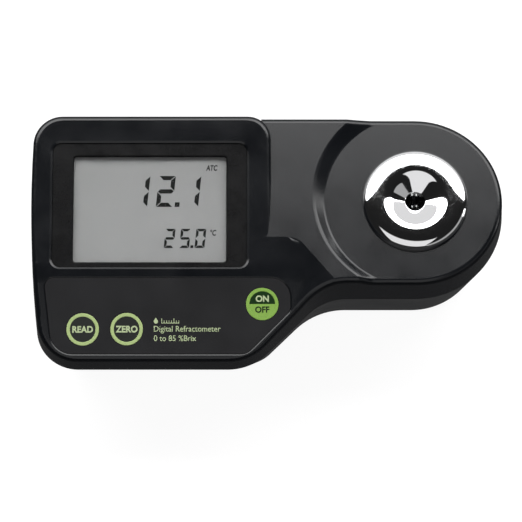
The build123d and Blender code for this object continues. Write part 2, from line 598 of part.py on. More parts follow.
for name, (x, y) in KEYS.items():
    with BuildPart() as dome:
        with BuildSketch(KEYPAD.offset(KEYBOARD_TOP)):
            with Locations((x, y)):
                Circle(DOME_R)
        extrude(amount=DOME_H)
        with Locations(KEYPAD.from_local_coords((x, y, KEYBOARD_TOP + DOME_H - DOME_SPHERE))):
            Sphere(DOME_SPHERE, mode=Mode.INTERSECT)
            Sphere(DOME_SPHERE - DOME_T, mode=Mode.SUBTRACT)
    dome.part.label = name.replace("key", "dome")
    export_step(dome.part, "parts/" + dome.part.label + ".step")

with BuildPart() as keypad_board:
    with BuildSketch(KEYPAD.offset(KEYBOARD_TOP)) as board_plan:
        with BuildLine():
            Polyline(*KEYBOARD, close=True)
        make_face()
        fillet(board_plan.vertices(), 2)
        with Locations(*KEYBOARD_SCREWS):
            Circle(KEYBOARD_SCREW[0] + SMALL_SCREW_PASS, mode=Mode.SUBTRACT)
    extrude(amount=-KEYBOARD_T)
keypad_board.part.label = "keypad_board"
export_step(keypad_board.part, "parts/keypad_board.step")

with BuildPart() as keypad_screws:
    with BuildSketch(KEYPAD.offset(KEYBOARD_TOP - KEYBOARD_T)):
        with Locations(*KEYBOARD_SCREWS):
            Circle(KEYBOARD_SCREW[0])
    extrude(amount=KEYBOARD_T + KEYBOARD_BITE)
    with BuildSketch(KEYPAD.offset(KEYBOARD_TOP - KEYBOARD_T)):
        with Locations(*KEYBOARD_SCREWS):
            Circle(KEYBOARD_SCREW[1])
    extrude(amount=-KEYBOARD_SCREW[2])
keypad_screws.part.label = "keypad_screws"
export_step(keypad_screws.part, "parts/keypad_screws.step")

with BuildPart() as keypad_tail:
    with BuildSketch(Plane.YZ.offset(-50)):
        with BuildLine():
            under = KEYPAD.from_local_coords((0, -18, KEYBOARD_TOP - KEYBOARD_T - 0.2))
            board = DISPLAY.from_local_coords((0, -16, BOARD_LOW))
            FilletPolyline(
                (under.Y - 2, under.Z - 2 * tan(radians(KEYPAD_TILT))),
                (under.Y, under.Z),
                (board.Y, board.Z - 3),
                (board.Y + 3, board.Z - 3 + 3 * tan(radians(DISPLAY_TILT))),
                radius=0.8,
            )
        trace(line_width=0.3)
    extrude(amount=12)
keypad_tail.part.label = "keypad_tail"
export_step(keypad_tail.part, "parts/keypad_tail.step")

# ---------------------------------------------------------------- sample well

WELL_AXIS = Axis((*WELL, 0), (0, 0, 1))
# Upright plane through the axis of the well; its x is the radius and its y the height.
WELL_SECTION = Plane(origin=(*WELL, 0), x_dir=(1, 0, 0), z_dir=(0, -1, 0))

with BuildPart() as well_ring:
    with BuildSketch(WELL_SECTION):
        crest_z, lip_z = STAGE_Z + RING_H, STAGE_Z + RING_LIP
        cone = radians(BOWL_SLOPE)
        cone_top = (APERTURE_R + BOWL_CONE, WINDOW_Z + APERTURE_LIP + BOWL_CONE * tan(cone))
        with BuildLine():
            Line((APERTURE_R, WINDOW_Z + APERTURE_LIP), cone_top)
            Spline(cone_top, (RING_CREST_R, crest_z), tangents=[(cos(cone), sin(cone)), (1, 0)])
            EllipticalCenterArc(
                (RING_CREST_R, lip_z),
                RING_R - RING_CREST_R,
                crest_z - lip_z,
                start_angle=0,
                arc_size=90,
            )
            Polyline(
                (RING_R, lip_z),
                (RING_R, STAGE_Z),
                (RING_NECK_R, STAGE_Z),
                (RING_NECK_R, NECK_Z),
                (RING_BORE_R, NECK_Z),
                (RING_BORE_R, WINDOW_Z),
                (APERTURE_R, WINDOW_Z),
                (APERTURE_R, WINDOW_Z + APERTURE_LIP),
            )
        make_face()
        with Locations((WELL_SEAL_R, STAGE_Z + 0.4), (PRISM_SEAL_R, WINDOW_Z + 0.25)):  # seal grooves
            Rectangle(GROOVE_W, 0.8, mode=Mode.SUBTRACT)
    revolve(axis=WELL_AXIS)
well_ring.part.label = "well_ring"
export_step(well_ring.part, "parts/well_ring.step")

with BuildPart() as well_seal:
    with BuildSketch(Plane.XY.offset(STAGE_Z)):
        with Locations(WELL):
            Circle(WELL_SEAL_R + SEAL_W / 2)
            Circle(WELL_SEAL_R - SEAL_W / 2, mode=Mode.SUBTRACT)
    extrude(amount=0.75)
well_seal.part.label = "well_seal"
export_step(well_seal.part, "parts/well_seal.step")

with BuildPart() as prism_seal:
    with BuildSketch(Plane.XY.offset(WINDOW_Z)):
        with Locations(WELL):
            Circle(PRISM_SEAL_R + SEAL_W / 2)
            Circle(PRISM_SEAL_R - SEAL_W / 2, mode=Mode.SUBTRACT)
    extrude(amount=0.6)
prism_seal.part.label = "prism_seal"
export_step(prism_seal.part, "parts/prism_seal.step")

PRISM_FOOT = PRISM_W / 2 - (WINDOW_Z - PRISM_Z) * tan(radians(BEAM))


def prism_profile(grow=0.0):
    """Section of the prism, whose side faces stand square to the two light paths."""
    with BuildSketch() as profile:
        with BuildLine():
            Polyline(
                (-PRISM_W / 2, WINDOW_Z),
                (PRISM_W / 2, WINDOW_Z),
                (PRISM_FOOT, PRISM_Z),
                (-PRISM_FOOT, PRISM_Z),
                close=True,
            )
        make_face()
        if grow:
            offset(amount=grow, kind=Kind.INTERSECTION)
    return profile.sketch


with BuildPart() as prism:
    with BuildSketch(WELL_SECTION):
        add(prism_profile())
    extrude(amount=PRISM_Y / 2, both=True)
prism.part.label = "prism"
export_step(prism.part, "parts/prism.step")

# ---------------------------------------------------------------- optics

OPTICS_REACH = OPTICS_END / cos(radians(BEAM))
SLANT = tan(radians(BEAM))
END_TOP = OPTICS_REACH - (WINDOW_Z - OPTICS_TOP) * SLANT
END_LOW = OPTICS_REACH - (WINDOW_Z - OPTICS_LOW) * SLANT

with BuildPart() as optics_body:
    with BuildSketch(WELL_SECTION):
        with BuildLine():
            Polyline(
                (-END_TOP, OPTICS_TOP),
                (END_TOP, OPTICS_TOP),
                (END_LOW, OPTICS_LOW),
                (-END_LOW, OPTICS_LOW),
                close=True,
            )
        make_face()
    extrude(amount=OPTICS_Y / 2, both=True)
    with BuildSketch(Plane.XY.offset(OPTICS_TOP)):
        with Locations(WELL):
            Circle(OPTICS_PLATE_R)
            for angle in OPTICS_SCREW_ANGLES:
                with PolarLocations(OPTICS_SCREW_R / 2, 1, start_angle=angle):
                    Rectangle(OPTICS_SCREW_R, OPTICS_ARM_W)
        with Locations(*OPTICS_SCREWS):
            Circle(OPTICS_SCREW[3] + SMALL_SCREW_PASS)
            Circle(OPTICS_SCREW[0] + 2 * SMALL_SCREW_PASS, mode=Mode.SUBTRACT)
    extrude(amount=NECK_Z - OPTICS_TOP)
    with BuildSketch(WELL_SECTION):
        add(prism_profile(PRISM_GAP))
    extrude(amount=PRISM_Y / 2 + PRISM_GAP, both=True, mode=Mode.SUBTRACT)
    for side in (-1, 1):
        with BuildSketch(beam_plane(side, OPTICS_END + 1)):
            Circle(OPTICS_BORE_R)
        extrude(amount=-OPTICS_END, mode=Mode.SUBTRACT)
    with BuildSketch(Plane.XZ.offset(-WELL_Y - OPTICS_Y / 2)):
        with Locations((WELL_X, PROBE_Z)):
            Circle(PROBE_R + 0.2)
    extrude(amount=PROBE_H + RUNNING_GAP, mode=Mode.SUBTRACT)
optics_body.part.label = "optics_body"
export_step(optics_body.part, "parts/optics_body.step")

with BuildPart() as optics_screws:
    with BuildSketch(Plane.XY.offset(OPTICS_TOP)):
        with Locations(*OPTICS_SCREWS):
            Circle(OPTICS_SCREW[0])
    extrude(amount=OPTICS_SCREW_L)
    with BuildSketch(Plane.XY.offset(OPTICS_TOP)):
        with Locations(*OPTICS_SCREWS):
            Circle(OPTICS_SCREW[1])
    extrude(amount=-OPTICS_SCREW[2])
optics_screws.part.label = "optics_screws"
export_step(optics_screws.part, "parts/optics_screws.step")

with BuildPart() as led:
    with BuildSketch(beam_plane(-1, LED_AT)):
        Circle(LED_R)
    extrude(amount=LED_L)
    fillet(led.edges().sort_by(Axis.X)[-1], LED_TIP_R)
    with BuildSketch(beam_plane(-1, LED_AT + LED_L)):
        Circle(LED_FLANGE_R)
    extrude(amount=LED_FLANGE_T)
led.part.label = "led"
export_step(led.part, "parts/led.step")

with BuildPart() as collimating_lens:
    lens_plane = beam_plane(-1, LENS_AT)
    with BuildSketch(Plane(lens_plane.origin, lens_plane.z_dir, lens_plane.x_dir)):
        with BuildLine():
            Polyline((0, LENS_R), (0, 0), (LENS_BULGE, 0))
            ThreePointArc((LENS_BULGE, 0), LENS_WAIST, (LENS_EDGE, LENS_R))
            Line((LENS_EDGE, LENS_R), (0, LENS_R))
        make_face()
    revolve(axis=Axis(lens_plane.origin, lens_plane.z_dir))
collimating_lens.part.label = "collimating_lens"
export_step(collimating_lens.part, "parts/collimating_lens.step")

with BuildPart() as light_slit:
    with BuildSketch(beam_plane(-1, SLIT_AT)):
        Circle(LENS_R)
        SlotOverall(SLIT_W, SLIT_H, mode=Mode.SUBTRACT)
    extrude(amount=SLIT_T)
light_slit.part.label = "light_slit"
export_step(light_slit.part, "parts/light_slit.step")

with BuildPart() as led_board:
    with BuildSketch(beam_plane(-1, OPTICS_END)):
        RectangleRounded(LAMP_BOARD_W, LAMP_BOARD_H, 1)
    extrude(amount=LAMP_BOARD_T)
led_board.part.label = "led_board"
export_step(led_board.part, "parts/led_board.step")

with BuildPart() as image_sensor:
    with BuildSketch(beam_plane(1, OPTICS_END)):
        Rectangle(SENSOR_W, SENSOR_H)
    extrude(amount=-SENSOR_T)
image_sensor.part.label = "image_sensor"
export_step(image_sensor.part, "parts/image_sensor.step")

with BuildPart() as sensor_board:
    with BuildSketch(beam_plane(1, OPTICS_END)):
        RectangleRounded(LAMP_BOARD_W, LAMP_BOARD_H, 1)
    extrude(amount=LAMP_BOARD_T)
sensor_board.part.label = "sensor_board"
export_step(sensor_board.part, "parts/sensor_board.step")

with BuildPart() as temperature_probe:
    with BuildSketch(Plane.XZ.offset(-WELL_Y - OPTICS_Y / 2)):
        with Locations((WELL_X, PROBE_Z)):
            Circle(PROBE_R)
    extrude(amount=PROBE_H)
    fillet(temperature_probe.edges().sort_by(Axis.Y)[0], 0.8)
temperature_probe.part.label = "temperature_probe"
export_step(temperature_probe.part, "parts/temperature_probe.step")

FLEX_Z, FLEX_T, FLEX_Y, FLEX_W = OPTICS_LOW - 1.2, 0.4, -15.0, 6.5

with BuildPart() as optics_flex:
    with BuildSketch(Plane.XY.offset(FLEX_Z)):
        with Locations((WELL_X, FLEX_Y)):
            Rectangle(7, WELL_Y + 9 - FLEX_Y, align=Align.MIN)
    extrude(amount=FLEX_T)
    with BuildSketch(Plane.XZ.offset(-FLEX_Y)):
        with BuildLine():
            riser_x = -12.5
            board_edge = DISPLAY.from_local_coords((0, -11, BOARD_LOW)).Z - 1.6
            FilletPolyline(
                (WELL_X + 7, FLEX_Z + FLEX_T / 2),
                (riser_x, FLEX_Z + FLEX_T / 2),
                (riser_x, board_edge),
                (riser_x - 7, board_edge),
                radius=1.5,
            )
        trace(line_width=FLEX_T)
    extrude(amount=-FLEX_W)
optics_flex.part.label = "optics_flex"
export_step(optics_flex.part, "parts/optics_flex.step")

# ---------------------------------------------------------------- battery

with BuildPart() as battery_housing:
    with BuildSketch(Plane.XY.offset(FLOOR_Z + WALL)):
        with Locations(BATTERY):
            Circle(FLANGE_R)
    extrude(amount=FLANGE_Z - FLOOR_Z - WALL)
    chamfer(battery_housing.edges().group_by(Axis.Z)[0], 0.6)
    with BuildSketch(Plane.XY.offset(FLANGE_Z)):
        with Locations(BATTERY):
            Circle(TUBE_R)
    extrude(amount=TUBE_TOP - FLANGE_Z)
    fillet(battery_housing.edges().group_by(Axis.Z)[-1], 1.5)
    with BuildSketch(Plane.XY):
        with Locations(BATTERY):
            Circle(CELL_R)
    extrude(amount=TUBE_TOP - 2, mode=Mode.SUBTRACT)
    with BuildSketch(Plane.XY):
        with Locations(BATTERY):
            Circle(SOCKET_R)
    extrude(amount=FLANGE_Z, mode=Mode.SUBTRACT)
    for k in range(3):
        track_h = LUG_H + 2 * TRACK_GAP
        track = thread_bar(120 * k, TRACK_START, TRACK_ARC, SOCKET_R - 0.6, TRACK_R, track_h)
        add(track, mode=Mode.SUBTRACT)
    with BuildSketch(Plane.XY.offset(LEAD_Z - 1.5)):  # slot for the leads
        with Locations((BATTERY_X - CELL_R, BATTERY_Y)):
            Rectangle(6, 6)
    extrude(amount=3, mode=Mode.SUBTRACT)
battery_housing.part.label = "battery_housing"
export_step(battery_housing.part, "parts/battery_housing.step")

with BuildPart() as battery_cover:
    with BuildSketch(Plane.XY.offset(FLOOR_Z)):
        with Locations(BATTERY):
            Circle(COVER_R)
    extrude(amount=COVER_T)
    chamfer(battery_cover.edges().group_by(Axis.Z)[0], 0.4)
    with BuildSketch(Plane.XY.offset(FLOOR_Z + COVER_T)):
        with Locations(BATTERY):
            Circle(SKIRT_R)
            Circle(SKIRT_R - SKIRT_T, mode=Mode.SUBTRACT)
    extrude(amount=SKIRT_H)
    for k in range(3):
        add(thread_bar(120 * k, -LUG_ARC / 2, LUG_ARC, SKIRT_R - 0.6, LUG_R, LUG_H))
    with BuildSketch(Plane.XY.offset(FLOOR_Z)):
        with Locations(BATTERY):
            SlotOverall(*COIN_SLOT)
            with PolarLocations(GRIP_R, 2, start_angle=90):
                SlotOverall(*GRIP, rotation=90)
    extrude(amount=GRIP_D, mode=Mode.SUBTRACT)
battery_cover.part.label = "battery_cover"
export_step(battery_cover.part, "parts/battery_cover.step")

with BuildPart() as battery_cover_seal:
    with BuildSketch(Plane.XY.offset(FLOOR_Z + COVER_T)):
        with Locations(BATTERY):
            Circle(COVER_R - 0.1)
            Circle(SKIRT_R + 0.2, mode=Mode.SUBTRACT)
    extrude(amount=WALL - COVER_T)
battery_cover_seal.part.label = "battery_cover_seal"
export_step(battery_cover_seal.part, "parts/battery_cover_seal.step")

with BuildPart() as battery_pad:
    with BuildSketch(Plane.XY.offset(FLOOR_Z + COVER_T)):
        with Locations(BATTERY):
            Circle(PAD_R)
    extrude(amount=CELL_Z0 - FLOOR_Z - COVER_T)
battery_pad.part.label = "battery_pad"
export_step(battery_pad.part, "parts/battery_pad.step")

with BuildPart() as battery:
    with BuildSketch(Plane.XY.offset(CELL_Z0)):
        with Locations(BATTERY):
            RectangleRounded(CELL_X, CELL_Y, 2.5)
    extrude(amount=CELL_Z1 - CELL_Z0)
    fillet(battery.edges().group_by(Axis.Z)[-1], 0.6)
    with BuildSketch(Plane.XY.offset(CELL_Z1)):
        with Locations((BATTERY_X, BATTERY_Y - STUD_SPACING)):
            Circle(STUD_R)
        with Locations((BATTERY_X, BATTERY_Y + STUD_SPACING)):
            RegularPolygon(SOCKET_SIZE, 6)
            Circle(STUD_R, mode=Mode.SUBTRACT)
    extrude(amount=STUD_H)
battery.part.label = "battery"
export_step(battery.part, "parts/battery.step")

with BuildPart() as battery_snap:
    with BuildSketch(Plane.XY.offset(CELL_Z1 + SNAP_GAP)):
        with Locations(BATTERY):
            RectangleRounded(SNAP_X, SNAP_Y, 2)
        with Locations((BATTERY_X, BATTERY_Y - STUD_SPACING), (BATTERY_X, BATTERY_Y + STUD_SPACING)):
            Circle(SNAP_HOLE_R, mode=Mode.SUBTRACT)
    extrude(amount=SNAP_RIM_H)
    with BuildSketch(Plane.XY.offset(CELL_Z1 + SNAP_GAP + SNAP_RIM_H)):
        with Locations(BATTERY):
            RectangleRounded(SNAP_X, SNAP_Y, 2)
    extrude(amount=SNAP_TOP_T)
battery_snap.part.label = "battery_snap"
export_step(battery_snap.part, "parts/battery_snap.step")

with BuildPart() as battery_leads:
    snap_x = BATTERY_X - SNAP_X / 2
    for lead_y in (BATTERY_Y - 1.4, BATTERY_Y + 1.4):
        board_z = DISPLAY.from_local_coords((0, lead_y - CREST_Y, BOARD_LOW)).Z
        with BuildLine() as lead:
            FilletPolyline(
                (snap_x, lead_y, LEAD_Z),
                (-9, lead_y, LEAD_Z),
                (-12, lead_y, LEAD_Z - 3),
                (-18, lead_y, LEAD_Z - 3),
                (-18, lead_y, board_z - 0.1),
                radius=1.2,
            )
        with BuildSketch(Plane(lead.line @ 0, z_dir=lead.line % 0)):
            Circle(0.6)
        sweep(path=lead.line)
battery_leads.part.label = "battery_leads"
export_step(battery_leads.part, "parts/battery_leads.step")
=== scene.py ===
import json
import math

import bmesh
import bpy
from mathutils import Matrix, Vector


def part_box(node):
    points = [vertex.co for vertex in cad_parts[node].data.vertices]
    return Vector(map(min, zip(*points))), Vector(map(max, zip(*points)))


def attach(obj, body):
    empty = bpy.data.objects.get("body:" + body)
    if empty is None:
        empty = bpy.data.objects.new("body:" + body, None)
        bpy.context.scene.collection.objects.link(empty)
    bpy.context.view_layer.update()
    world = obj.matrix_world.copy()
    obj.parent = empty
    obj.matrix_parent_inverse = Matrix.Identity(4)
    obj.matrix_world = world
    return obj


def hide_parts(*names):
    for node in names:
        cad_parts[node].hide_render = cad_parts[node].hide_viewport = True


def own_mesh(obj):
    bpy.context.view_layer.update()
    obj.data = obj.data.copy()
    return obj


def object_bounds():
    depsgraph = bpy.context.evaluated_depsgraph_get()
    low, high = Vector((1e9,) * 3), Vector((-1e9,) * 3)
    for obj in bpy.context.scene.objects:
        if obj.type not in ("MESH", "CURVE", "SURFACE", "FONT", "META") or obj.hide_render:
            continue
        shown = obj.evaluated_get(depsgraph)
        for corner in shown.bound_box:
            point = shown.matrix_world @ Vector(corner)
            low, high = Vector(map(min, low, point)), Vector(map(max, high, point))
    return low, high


# A handheld digital refractometer. Everything is in metres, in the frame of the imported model,
# with X along the instrument towards its sample well, Y from the user towards the back, Z up.

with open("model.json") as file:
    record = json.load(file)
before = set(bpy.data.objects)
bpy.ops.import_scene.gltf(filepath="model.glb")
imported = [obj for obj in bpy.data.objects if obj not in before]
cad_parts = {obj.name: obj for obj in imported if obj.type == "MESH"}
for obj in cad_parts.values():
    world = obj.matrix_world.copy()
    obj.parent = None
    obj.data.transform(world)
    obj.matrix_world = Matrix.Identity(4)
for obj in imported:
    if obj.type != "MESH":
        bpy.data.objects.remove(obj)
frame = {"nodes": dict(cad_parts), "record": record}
cad_box = [list(v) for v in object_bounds()]
MM = 0.001

# ---------------------------------------------------------------- places, worked out from the frame

DISPLAY_TILT, KEYPAD_TILT = math.radians(4.4), math.radians(12.2)
LCD_THICK, OVERLAY_THICK, KEY_RADIUS = 1.8 * MM, 1.0 * MM, 6.55 * MM


def centre(node):
    lo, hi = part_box(node)
    return (Vector(lo) + Vector(hi)) / 2


def slope(origin, tilt):
    """Matrix whose x runs along the instrument, y up the slope, and z out of it."""
    up = Vector((0, math.cos(tilt), math.sin(tilt)))
    out = Vector((0, -math.sin(tilt), math.cos(tilt)))
    m = Matrix((Vector((1, 0, 0)), up, out)).transposed().to_4x4()
    m.translation = origin
    return m


def normal(tilt):
    return Vector((0, -math.sin(tilt), math.cos(tilt)))


LCD_FACE = slope(centre("lcd_panel") + normal(DISPLAY_TILT) * LCD_THICK / 2, DISPLAY_TILT)
KEYPAD_FACE = slope(centre("keypad_overlay") + normal(KEYPAD_TILT) * OVERLAY_THICK / 2, KEYPAD_TILT)


def key_face(node):
    """Matrix at the middle of a key's top face."""
    lo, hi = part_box(node)
    rise = hi[2] - KEY_RADIUS * math.sin(KEYPAD_TILT) - KEYPAD_FACE.translation.z
    place = KEYPAD_FACE @ Vector((0, rise / math.sin(KEYPAD_TILT), 0))
    place.x = (lo[0] + hi[0]) / 2
    return slope(place, KEYPAD_TILT)


# ---------------------------------------------------------------- materials

RANGE_KEYS = ("From Min", "From Max", "To Min", "To Max")


class Shader:
    """A node material under construction: one Principled shader and the textures that feed it."""

    def __init__(self, name, colour, roughness, **settings):
        self.material = bpy.data.materials.new(name)
        self.material.use_nodes = True
        self.tree = self.material.node_tree
        self.out = self.tree.nodes["Principled BSDF"]
        self.out.inputs["Base Color"].default_value = (*colour, 1)
        self.out.inputs["Roughness"].default_value = roughness
        for key, value in settings.items():
            self.out.inputs[key.replace("_", " ")].default_value = value
        self.where = self.add("ShaderNodeTexCoord").outputs["Object"]

    def add(self, kind, **inputs):
        node = self.tree.nodes.new(kind)
        for key, value in inputs.items():
            self.feed(node.inputs[key.replace("_", " ")], value)
        return node

    def feed(self, socket, value):
        if isinstance(value, bpy.types.NodeSocket):
            self.tree.links.new(value, socket)
        else:
            socket.default_value = value

    def noise(self, size, detail=4.0, stretch=(1, 1, 1)):
        """Noise whose features are about size metres across, stretched along the axes."""
        place = self.add("ShaderNodeMapping", Vector=self.where, Scale=stretch).outputs[0]
        texture = self.add("ShaderNodeTexNoise", Vector=place, Scale=1 / size, Detail=detail)
        return texture.outputs["Fac"]

    def cells(self, size):
        texture = self.add("ShaderNodeTexVoronoi", Vector=self.where, Scale=1 / size)
        return texture.outputs["Distance"]

    def spread(self, value, low, high, start=0.3, end=0.7):
        """Value stretched so that start to end becomes low to high."""
        node = self.add("ShaderNodeMapRange", Value=value)
        for key, number in zip(RANGE_KEYS, (start, end, low, high)):
            node.inputs[key].default_value = number
        return node.outputs["Result"]

    def blend(self, factor, first, second):
        """Colour between first and second, by factor."""
        node = self.add("ShaderNodeMix")
        node.data_type = "RGBA"
        self.feed(node.inputs[0], factor)
        self.feed(node.inputs[6], (*first, 1))
        self.feed(node.inputs[7], (*second, 1))
        return node.outputs[2]

    def math(self, operation, first, second=0.0):
        node = self.add("ShaderNodeMath")
        node.operation = operation
        self.feed(node.inputs[0], first)
        self.feed(node.inputs[1], second)
        return node.outputs[0]

    def colour(self, factor, first, second):
        self.feed(self.out.inputs["Base Color"], self.blend(factor, first, second))

    def rough(self, factor, low, high, start=0.3, end=0.7):
        self.feed(self.out.inputs["Roughness"], self.spread(factor, low, high, start, end))

    def bump(self, height, depth, strength=1.0):
        """Raise the surface by height times depth metres."""
        last = self.out.inputs["Normal"]
        below = last.links[0].from_socket if last.links else None
        node = self.add("ShaderNodeBump", Height=height, Distance=depth, Strength=strength)
        if below:
            self.tree.links.new(below, node.inputs["Normal"])
        self.tree.links.new(node.outputs[0], last)


def moulded(name, colour, roughness, grain=0.25 * MM, depth=0.012 * MM, **settings):
    """Moulded plastic: a fine spark-eroded grain, and gloss that wanders a little."""
    s = Shader(name, colour, roughness, **settings)
    broad = s.noise(14 * MM, 3)
    fine = s.noise(grain, 2)
    s.colour(s.spread(broad, 0, 1), colour, [c * 1.25 for c in colour])
    s.rough(s.math("MULTIPLY", broad, fine), roughness - 0.05, roughness + 0.06, 0.1, 0.4)
    s.bump(fine, depth)
    return s.material


def rubber(name, colour):
    s = Shader(name, colour, 0.75)
    s.colour(s.spread(s.noise(2 * MM), 0, 1), colour, [c * 1.6 for c in colour])
    s.rough(s.noise(0.6 * MM), 0.62, 0.85)
    s.bump(s.noise(0.3 * MM), 0.02 * MM)
    return s.material


def metal(name, colour, roughness, stretch=(1, 1, 1), size=0.2 * MM, depth=0.002 * MM):
    s = Shader(name, colour, roughness, Metallic=1.0)
    lines = s.noise(size, 3, stretch)
    s.colour(s.spread(s.noise(3 * MM), 0, 1), colour, [c * 0.86 for c in colour])
    s.rough(lines, roughness * 0.75, roughness * 1.3)
    s.bump(lines, depth)
    return s.material


def board(name):
    """Green solder mask over copper tracks."""
    s = Shader(name, (0.012, 0.09, 0.035), 0.35, Coat_Weight=0.4)
    bricks = s.add("ShaderNodeTexBrick", Vector=s.where, Scale=1.0, Mortar_Size=0.3 * MM)
    tracks = bricks.outputs["Fac"]
    s.colour(s.spread(tracks, 0, 1, 0, 1), (0.012, 0.09, 0.035), (0.03, 0.2, 0.08))
    s.rough(s.noise(1 * MM), 0.25, 0.45)
    s.bump(tracks, 0.02 * MM)
    return s.material


# What each slot of the record is made of.
MATERIALS = {
    "case_plastic": moulded(
        "case_plastic", (0.0038, 0.0044, 0.0056), 0.2, Specular_IOR_Level=0.36
    ),
    "bezel_plastic": moulded(
        "bezel_plastic", (0.0035, 0.0035, 0.0038), 0.28, grain=0.18 * MM, Specular_IOR_Level=0.2
    ),
    "overlay_film": moulded(
        "overlay_film",
        (0.0068, 0.0068, 0.0078),
        0.4,
        grain=0.12 * MM,
        depth=0.006 * MM,
        Specular_IOR_Level=0.3,
    ),
    "key_plastic": moulded(
        "key_plastic",
        (0.007, 0.0085, 0.007),
        0.38,
        grain=0.12 * MM,
        depth=0.006 * MM,
        Specular_IOR_Level=0.4,
    ),
    "inner_plastic": moulded("inner_plastic", (0.02, 0.02, 0.021), 0.5),
    "seal_rubber": rubber("seal_rubber", (0.02, 0.02, 0.02)),
    "foot_rubber": rubber("foot_rubber", (0.035, 0.034, 0.033)),
    "pad_foam": rubber("pad_foam", (0.06, 0.06, 0.06)),
    "lead_insulation": moulded("lead_insulation", (0.35, 0.02, 0.015), 0.4),
    "screw_steel": metal("screw_steel", (0.62, 0.61, 0.58), 0.3),
    "dome_steel": metal("dome_steel", (0.72, 0.71, 0.7), 0.25),
    "battery_can": moulded("battery_can", (0.03, 0.03, 0.035), 0.25),
    "circuit_board": board("circuit_board"),
    "chip_plastic": moulded("chip_plastic", (0.015, 0.015, 0.016), 0.55),
    "flex_film": moulded("flex_film", (0.5, 0.2, 0.03), 0.25),
    "led_epoxy": moulded("led_epoxy", (0.8, 0.55, 0.1), 0.15, Transmission_Weight=0.6),
}


def turned_steel():
    """Polished steel with the faintest rings from turning."""
    s = Shader("well_steel", (0.86, 0.86, 0.87), 0.045, Metallic=1.0)
    middle = centre("well_ring")
    place = s.add("ShaderNodeMapping", Vector=s.where, Location=-Vector((middle.x, middle.y, 0)))
    rings = s.add("ShaderNodeTexWave", Vector=place.outputs[0], Scale=2200.0, Distortion=0.4)
    rings.wave_type, rings.rings_direction = "RINGS", "Z"
    s.rough(s.noise(1.5 * MM), 0.03, 0.07)
    s.bump(rings.outputs["Fac"], 0.00004 * MM)
    return s.material


def clear(name, tint, roughness, ior, **settings):
    """Clear polished pane or glass, with faint dust and wipe marks in its gloss."""
    s = Shader(name, tint, roughness, IOR=ior, Transmission_Weight=1.0, **settings)
    s.rough(s.noise(4 * MM, 5, (1, 3, 1)), roughness, roughness + 0.03)
    return s.material


def lcd_grey():
    """Liquid crystal glass over its reflector: a plain grey with the finest grain."""
    s = Shader("lcd_glass", (0.215, 0.215, 0.215), 0.5, Specular_IOR_Level=0.2)
    s.colour(s.spread(s.noise(9 * MM, 2), 0, 1), (0.21, 0.21, 0.21), (0.22, 0.22, 0.22))
    s.rough(s.noise(0.3 * MM), 0.42, 0.6)
    s.bump(s.noise(0.08 * MM, 1), 0.003 * MM)
    return s.material


def print_ink(name, colour, roughness=0.5):
    """Screen-printed ink: nearly even, with a faint grain of the mesh it was printed through."""
    s = Shader(name, colour, roughness, Specular_IOR_Level=0.15)
    weave = s.cells(0.12 * MM)
    s.colour(s.spread(s.noise(0.8 * MM), 0, 1), [c * 0.92 for c in colour], colour)
    s.rough(weave, roughness - 0.06, roughness + 0.08, 0, 1)
    s.bump(weave, 0.003 * MM)
    return s.material


MATERIALS["well_steel"] = turned_steel()
MATERIALS["window_plastic"] = clear(
    "window_plastic", (0.98, 0.99, 0.985), 0.01, 1.49, Specular_IOR_Level=0.15
)
MATERIALS["prism_glass"] = clear("prism_glass", (0.95, 0.97, 0.97), 0.0, 1.62)
MATERIALS["lcd_glass"] = lcd_grey()
LCD_INK = print_ink("lcd_ink", (0.002, 0.002, 0.002))
LIME = print_ink("lime_ink", (0.21, 0.37, 0.07))
RIM_LIME = print_ink("rim_lime_ink", (0.37, 0.47, 0.2))
PALE = print_ink("pale_ink", (0.42, 0.5, 0.29))
DARK = print_ink("dark_ink", (0.004, 0.009, 0.004))
GREEN = print_ink("deep_green_ink", (0.004, 0.024, 0.002))

slots = {row["node"]: row["material_slot"] for row in frame["record"]["subparts"]}
for name, obj in frame["nodes"].items():
    obj.data.materials.clear()
    obj.data.materials.append(MATERIALS[slots[name]])
frame["nodes"]["display_window"].visible_shadow = False

# ---------------------------------------------------------------- printed marks and display figures


def piece(name, mesh, place, material, body):
    """Object with mesh at place, riding on body."""
    obj = bpy.data.objects.new(name, mesh)
    bpy.context.scene.collection.objects.link(obj)
    mesh.transform(place)
    mesh.materials.append(material)
    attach(obj, body)
    return obj


def plates(name, outlines, low, high):
    """Mesh of flat closed plates, one for each outline of (x, y), between heights low and high."""
    bm = bmesh.new()
    for outline in outlines:
        top = [bm.verts.new((x, y, high)) for x, y in outline]
        foot = [bm.verts.new((x, y, low)) for x, y in outline]
        bm.faces.new(top)
        bm.faces.new(foot[::-1])
        for i in range(len(top)):
            bm.faces.new((top[i - 1], foot[i - 1], foot[i], top[i]))
    bmesh.ops.recalc_face_normals(bm, faces=bm.faces)
    mesh = bpy.data.meshes.new(name)
    bm.to_mesh(mesh)
    bm.free()
    return mesh


def arc(radius, start, end, steps):
    angles = [math.radians(start + (end - start) * i / steps) for i in range(steps + 1)]
    return [(radius * math.cos(a), radius * math.sin(a)) for a in angles]


